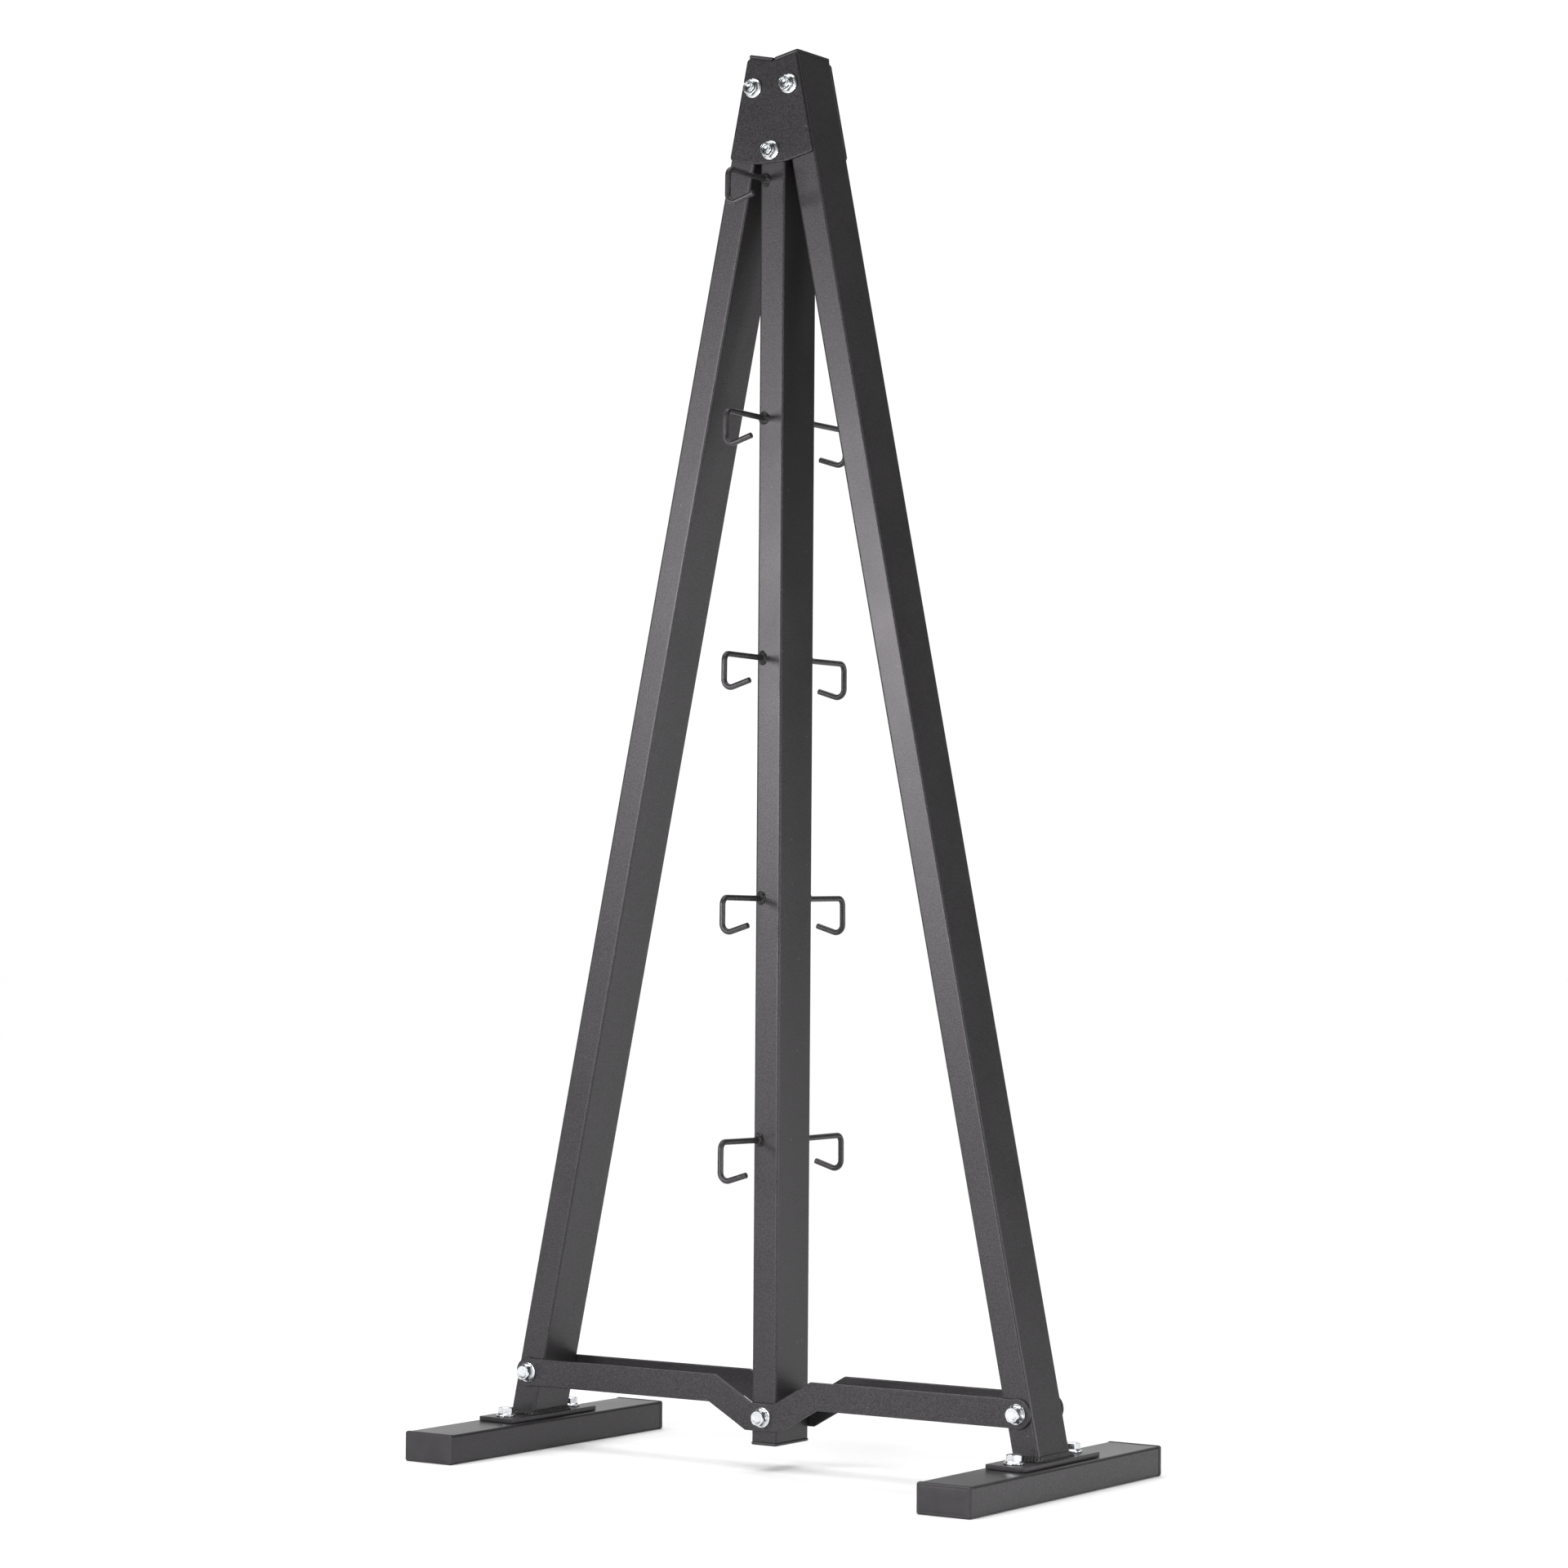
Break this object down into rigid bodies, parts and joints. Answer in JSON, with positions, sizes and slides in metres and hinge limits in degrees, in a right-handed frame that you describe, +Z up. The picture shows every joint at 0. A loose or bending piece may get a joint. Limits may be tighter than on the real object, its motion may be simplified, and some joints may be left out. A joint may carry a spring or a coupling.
{
  "type": "hook stand",
  "caption": "Free-standing A-frame steel hook stand: splayed rectangular tube legs on long feet, a bolted centre post and rod hooks front and rear.",
  "frame": {"origin": "on the floor, at the middle of the stand's footprint", "axes": "+Z up, +X toward the right foot, +Y toward the rear; the feet lie along Y and the front is -Y"},
  "size_m": [0.6918, 0.376, 1.4716],
  "materials": {
    "powder_coat": "satin black powder coat with a fine grain",
    "weld_bead": "lumpy weld bead under glossy black powder coat",
    "cap_plastic": "moulded black plastic, fine texture",
    "zinc_fastener": "bright zinc plated"
  },
  "bodies": {
    "root": {"center_post": "powder_coat", "post_top_cap": "cap_plastic", "post_bottom_cap": "cap_plastic", "left_leg": "powder_coat", "left_leg_top_cap": "cap_plastic", "left_leg_weld": "weld_bead", "left_foot_tube": "powder_coat", "left_base_plate": "powder_coat", "left_foot_front_cap": "cap_plastic", "left_foot_front_bolt": "zinc_fastener", "left_foot_front_nut": "zinc_fastener", "left_foot_rear_cap": "cap_plastic", "left_foot_rear_bolt": "zinc_fastener", "left_foot_rear_nut": "zinc_fastener", "right_leg": "powder_coat", "right_leg_top_cap": "cap_plastic", "right_leg_weld": "weld_bead", "right_foot_tube": "powder_coat", "right_base_plate": "powder_coat", "right_foot_front_cap": "cap_plastic", "right_foot_front_bolt": "zinc_fastener", "right_foot_front_nut": "zinc_fastener", "right_foot_rear_cap": "cap_plastic", "right_foot_rear_bolt": "zinc_fastener", "right_foot_rear_nut": "zinc_fastener", "front_top_plate": "powder_coat", "front_cross_bar": "powder_coat", "rear_top_plate": "powder_coat", "rear_cross_bar": "powder_coat", "top_left_bolt": "zinc_fastener", "top_left_nut": "zinc_fastener", "top_right_bolt": "zinc_fastener", "top_right_nut": "zinc_fastener", "top_post_bolt": "zinc_fastener", "top_post_nut": "zinc_fastener", "bar_left_bolt": "zinc_fastener", "bar_left_nut": "zinc_fastener", "bar_right_bolt": "zinc_fastener", "bar_right_nut": "zinc_fastener", "bar_post_bolt": "zinc_fastener", "bar_post_nut": "zinc_fastener", "front_hook_1": "powder_coat", "front_hook_2": "powder_coat", "front_hook_3": "powder_coat", "front_hook_4": "powder_coat", "front_hook_5": "powder_coat", "rear_hook_1": "powder_coat", "rear_hook_2": "powder_coat", "rear_hook_3": "powder_coat", "rear_hook_4": "powder_coat", "rear_hook_5": "powder_coat"}
  },
  "joints": []
}
